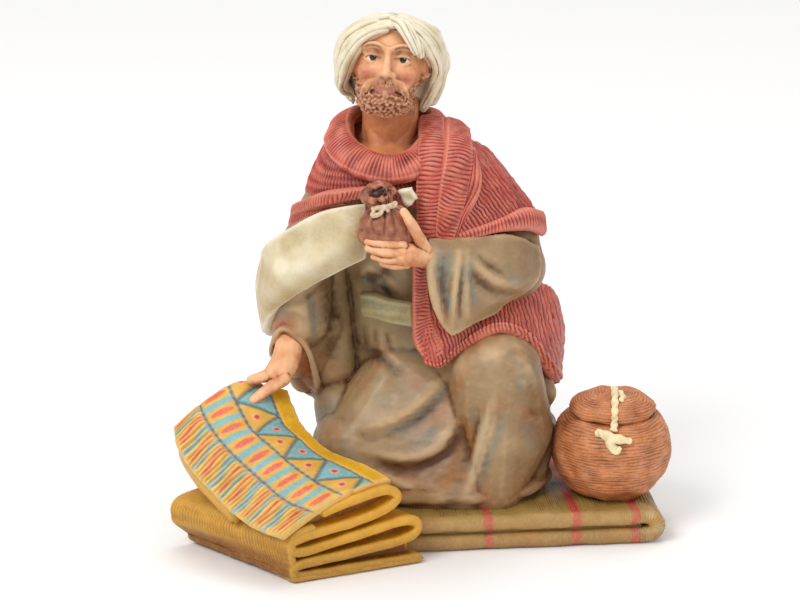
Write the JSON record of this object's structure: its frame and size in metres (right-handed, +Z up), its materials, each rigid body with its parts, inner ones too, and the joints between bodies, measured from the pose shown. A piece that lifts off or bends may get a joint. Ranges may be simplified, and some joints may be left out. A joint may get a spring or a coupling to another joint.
{
  "type": "nativity shepherd figurine",
  "caption": "Seated nativity shepherd with folded carpets and a lidded basket on a mat, cast in one piece for a crib scene.",
  "frame": {"origin": "a point of the mat's flat underside, below the seated man", "axes": "+Z up, +Y to the back of the figure, +X to the figure's own left, which is the right as it is seen from the front"},
  "size_m": [0.0886, 0.0623, 0.0937],
  "materials": {
    "painted_cast_polymer": "solid cast polymer, painted by hand in matt colours with a dark wash and a light dry brush"
  },
  "bodies": {
    "root": {"shepherd_figurine": "painted_cast_polymer"}
  },
  "joints": []
}
